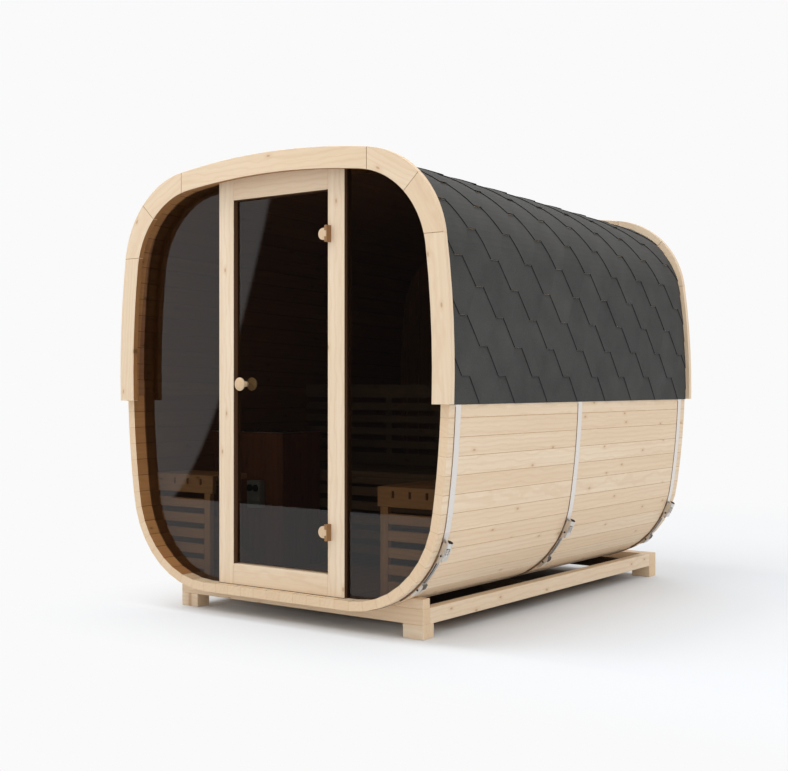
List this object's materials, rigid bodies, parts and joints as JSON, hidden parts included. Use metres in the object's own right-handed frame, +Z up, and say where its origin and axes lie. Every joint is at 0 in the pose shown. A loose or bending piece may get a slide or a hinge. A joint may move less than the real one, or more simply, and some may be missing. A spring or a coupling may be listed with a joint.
{
  "type": "garden sauna",
  "caption": "Outdoor barrel sauna with squared, rounded stave shell, shingled half roof, tinted glass front with hinged glass door, steel straps, benches and timber base frame.",
  "frame": {"origin": "middle of the footprint's bounding box, at ground level under the feet", "axes": "+X to the right seen from the glass front, +Y from the glass front to the rear wall, +Z up"},
  "size_m": [2.1558, 2.68, 2.326],
  "materials": {
    "timber": "planed pale spruce, unvarnished",
    "bench_timber": "planed spruce, slightly darker",
    "guard_timber": "heat-treated timber, reddish brown",
    "shingle": "charcoal mineral-faced roofing felt",
    "steel": "stainless, satin",
    "tinted_glass": "smoke-tinted toughened glass",
    "stone": "dark heater stones in a dark housing",
    "heater_metal": "grey paint, satin"
  },
  "bodies": {
    "sauna": {"floor_staves": "timber", "floor_corner_right": "timber", "floor_corner_left": "timber", "wall_lower_right": "timber", "wall_lower_left": "timber", "wall_upper_right": "timber", "wall_upper_left": "timber", "roof_corner_right": "timber", "roof_corner_left": "timber", "roof_staves": "timber", "roof_shingles": "shingle", "rear_wall": "timber", "front_trim_top": "timber", "front_trim_shoulders": "timber", "front_trim_corners": "timber", "front_trim_sides": "timber", "rear_trim_top": "timber", "rear_trim_shoulders": "timber", "rear_trim_corners": "timber", "rear_trim_sides": "timber", "door_jambs": "timber", "door_head": "timber", "door_sill": "timber", "side_glass": "tinted_glass", "hinge_bars": "timber", "straps": "steel", "strap_clamps": "steel", "bench_right": "bench_timber", "bench_left": "bench_timber", "bench_ends": "bench_timber", "bench_rear": "bench_timber", "backrest": "bench_timber", "guard_front": "guard_timber", "guard_side": "guard_timber", "heater": "stone", "control_box": "heater_metal", "base_front_beam": "timber", "base_rear_beam": "timber", "base_side_beams": "timber", "base_joists": "timber", "cradle_wedges": "timber", "base_feet": "timber"},
    "door": {"door_glass": "tinted_glass", "door_knob": "timber", "hinge_blocks": "timber"}
  },
  "joints": [
    {"name": "door_hinge", "type": "hinge", "parent": "sauna", "child": "door", "pos_m": [0.3235, -1.288, 1.2], "axis": [0, 0, 1], "range_deg": [0, 105]}
  ]
}
